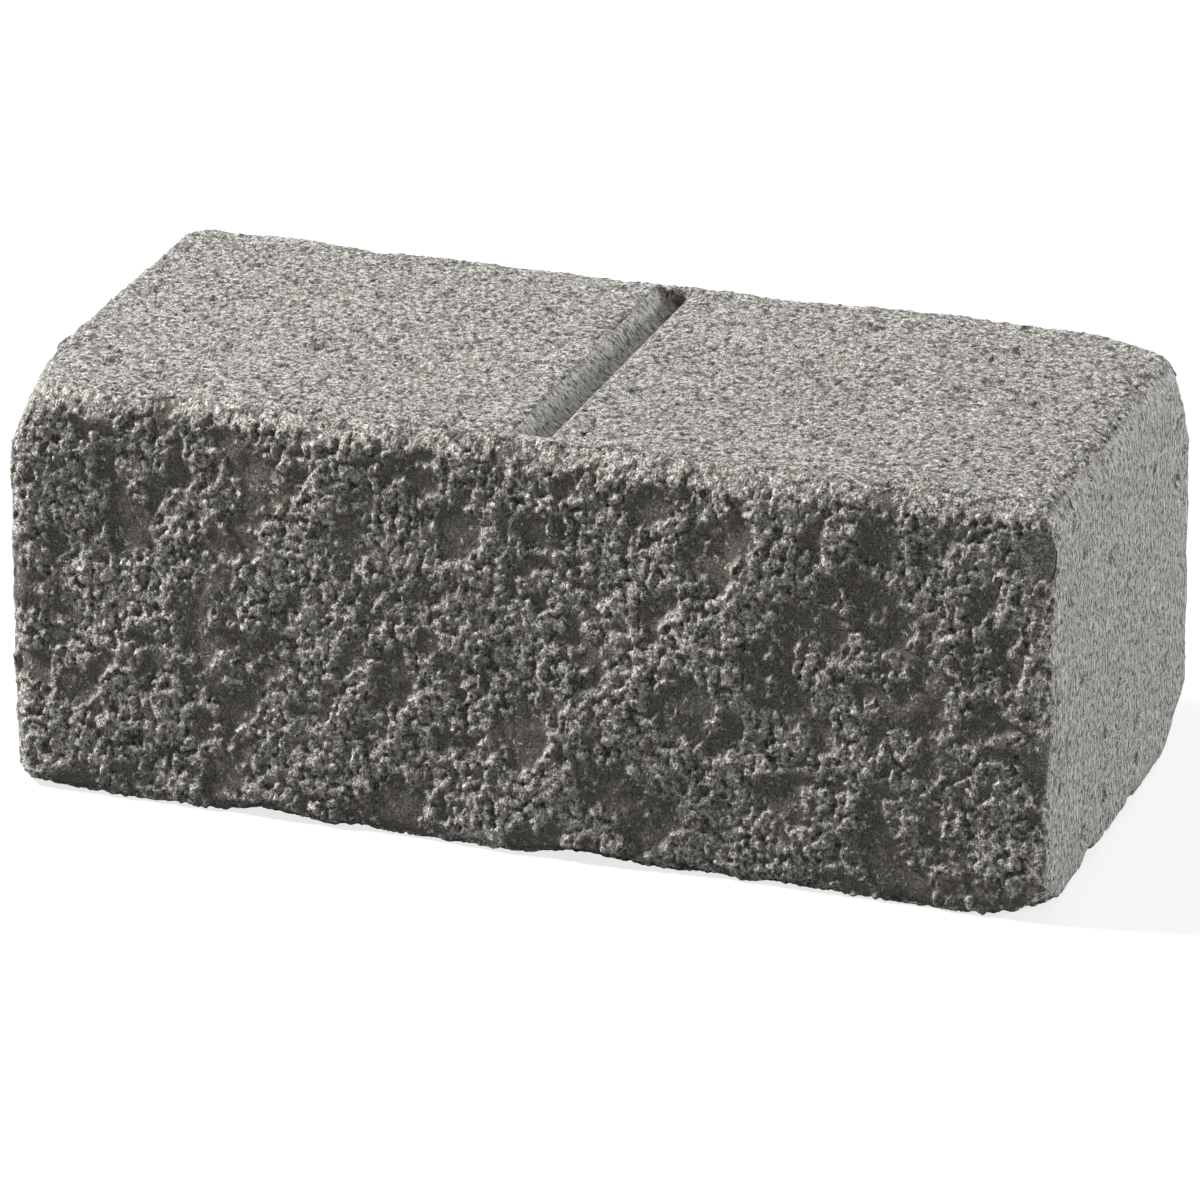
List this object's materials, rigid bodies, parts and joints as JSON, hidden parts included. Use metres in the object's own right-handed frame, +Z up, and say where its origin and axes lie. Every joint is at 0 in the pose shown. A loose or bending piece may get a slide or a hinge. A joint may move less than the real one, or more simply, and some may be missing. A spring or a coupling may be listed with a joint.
{
  "type": "split-face concrete wall block",
  "caption": "Cast concrete block with rough split faces front and back, flat beds to stack and butt, and a halving groove across its top.",
  "frame": {"origin": "centre of the block's underside", "axes": "+Z up through the upper bed, +X along the block towards the end with the most worn top edge, -Y out of the split face that shows in the wall"},
  "size_m": [0.38, 0.188, 0.15],
  "materials": {
    "concrete": "vibro-pressed grey concrete: crumbed upper bed, drag-marked ends, coarse split front and back",
    "pebble": "natural river gravel, beige to off-white, matt"
  },
  "bodies": {
    "root": {"block_body": "concrete", "exposed_pebbles": "pebble"}
  },
  "joints": []
}
